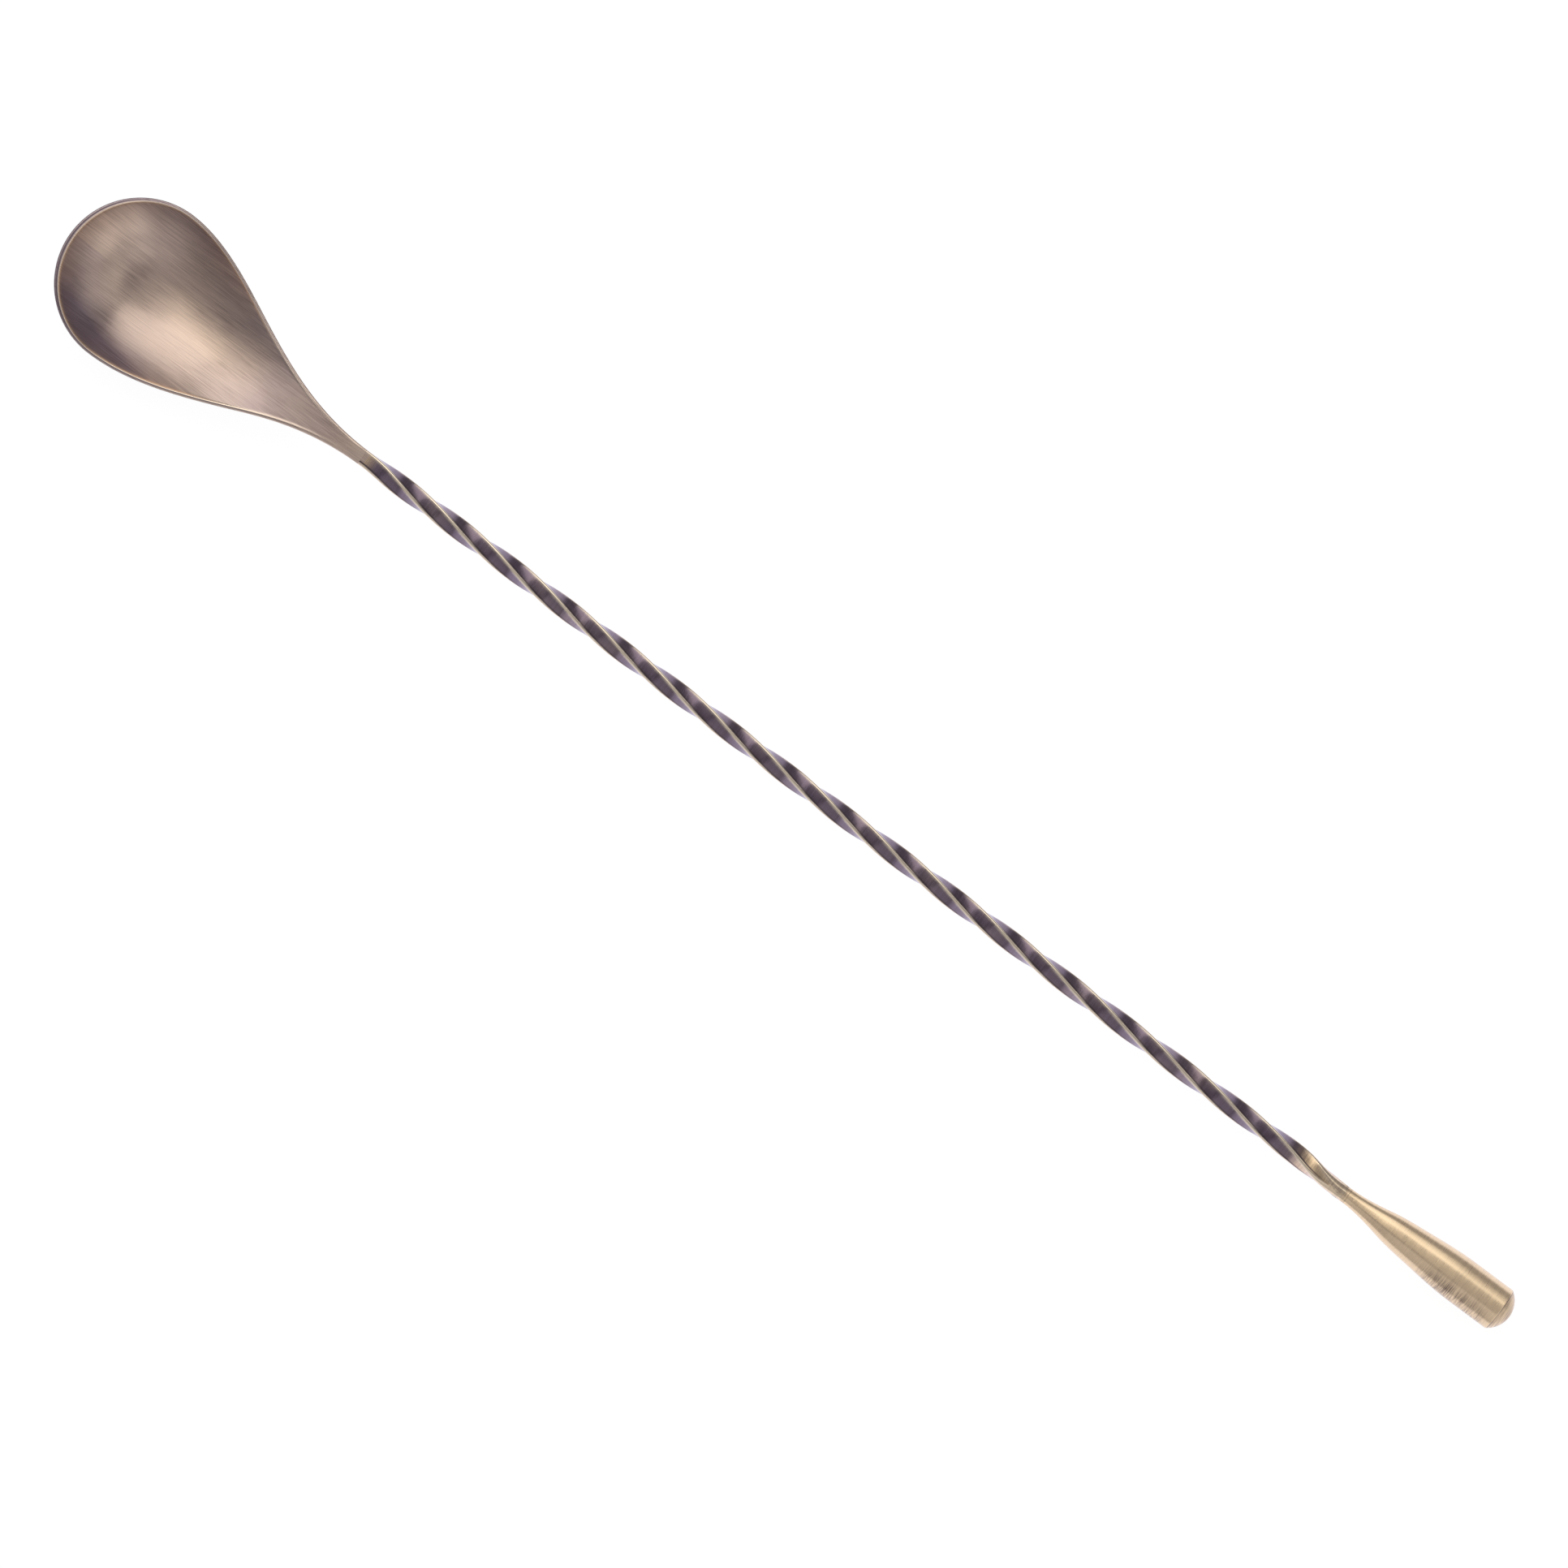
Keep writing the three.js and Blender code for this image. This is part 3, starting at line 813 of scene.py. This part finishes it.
# ---- Studio ----
def build_floor():
    """Pale glowing floor just under the spoon; the spoon does not mirror it."""
    reach = FLOOR_HALF_WIDTH
    corners = [(-reach, -reach), (reach, -reach), (reach, reach), (-reach, reach)]
    mesh = bpy.data.meshes.new("floor")
    mesh.from_pydata([(x, y, -FLOOR_DROP) for x, y in corners], [], [(0, 1, 2, 3)])
    floor = bpy.data.objects.new("floor", mesh)
    bpy.context.scene.collection.objects.link(floor)
    material = bpy.data.materials.new("pale_floor")
    material.use_nodes = True
    nodes = material.node_tree.nodes
    links = material.node_tree.links
    nodes.clear()
    output = nodes.new("ShaderNodeOutputMaterial")
    glow = nodes.new("ShaderNodeEmission")
    glow.inputs["Strength"].default_value = FLOOR_GLOW
    matt = nodes.new("ShaderNodeBsdfDiffuse")
    matt.inputs["Color"].default_value = (FLOOR_GREY, FLOOR_GREY, FLOOR_GREY, 1)
    both = nodes.new("ShaderNodeAddShader")
    links.new(glow.outputs[0], both.inputs[0])
    links.new(matt.outputs[0], both.inputs[1])
    links.new(both.outputs[0], output.inputs[0])
    mesh.materials.append(material)
    floor.visible_glossy = False


def add_softbox(name, azimuth, zenith, size, radiance, colour):
    """Area light facing the spoon; azimuth turns from +X to +Y, zenith down from +Z, in degrees."""
    across, along = math.radians(azimuth), math.radians(zenith)
    direction = Vector((math.sin(along) * math.cos(across), math.sin(along) * math.sin(across),
                        math.cos(along)))
    light = bpy.data.lights.new(name, "AREA")
    light.shape = "RECTANGLE"
    light.size, light.size_y = size
    light.energy = radiance * math.pi * size[0] * size[1]
    light.color = colour
    lamp = bpy.data.objects.new(name, light)
    lamp.location = direction * LIGHT_DISTANCE
    lamp.rotation_euler = (0, along, across)
    lamp.visible_camera = False
    bpy.context.scene.collection.objects.link(lamp)


def build_world():
    world = bpy.data.worlds.new("studio")
    world.use_nodes = True
    bpy.context.scene.world = world
    nodes = world.node_tree.nodes
    links = world.node_tree.links
    height = nodes.new("ShaderNodeVectorMath")
    height.operation = "DOT_PRODUCT"
    height.inputs[1].default_value = HORIZON_TILT
    links.new(nodes.new("ShaderNodeTexCoord").outputs["Generated"], height.inputs[0])
    below = nodes.new("ShaderNodeMapRange")
    below.inputs["From Min"].default_value = HORIZON_TOP
    below.inputs["From Max"].default_value = HORIZON_BOTTOM
    links.new(height.outputs["Value"], below.inputs["Value"])
    both = nodes.new("ShaderNodeMix")
    both.data_type = "RGBA"
    both.inputs["A"].default_value = ROOM_COLOUR + (1,)
    both.inputs["B"].default_value = SWEEP_COLOUR + (1,)
    links.new(below.outputs[0], both.inputs["Factor"])
    links.new(both.outputs["Result"], nodes["Background"].inputs["Color"])


def build_camera():
    """Camera straight above the spoon, turned about the vertical as in the photo."""
    camera = bpy.data.cameras.new("camera")
    camera.lens = CAMERA_LENS
    camera.sensor_width = CAMERA_SENSOR
    camera.clip_end = CAMERA_CLIP_END
    distance = FRAME_WIDTH * camera.lens / camera.sensor_width
    holder = bpy.data.objects.new("camera", camera)
    holder.location = (CAMERA_X, CAMERA_Y, distance + FOCUS_HEIGHT)
    holder.rotation_euler = (0, 0, CAMERA_TURN)
    bpy.context.scene.collection.objects.link(holder)
    bpy.context.scene.camera = holder


build_floor()
build_world()
build_camera()
add_softbox("key", 126, 48, (2.7, 3.2), 1.13, (1.0, 0.98, 0.96))
add_softbox("key_side", 38, 52, (2.8, 2.6), 0.42, (1.0, 0.98, 0.94))
add_softbox("bowl_end", 178, 45, (2.7, 1.8), 0.68, (1.0, 0.96, 0.85))
add_softbox("bowl_end_low", 160, 76, (1.6, 3.0), 0.15, (1.0, 0.98, 0.96))
add_softbox("weight_end", 330, 58, (3.6, 3.0), 0.2, (1.0, 0.98, 1.0))
add_softbox("weight_end_low", 340, 78, (1.6, 4.0), 0.5, (1.0, 0.98, 0.97))
add_softbox("front", 288, 56, (3.0, 3.2), 0.28, (0.98, 0.97, 1.02))
add_softbox("overhead", 190, 14, (1.8, 2.0), 0.2, (1.0, 0.97, 0.95))
bpy.context.scene.view_settings.view_transform = "Standard"
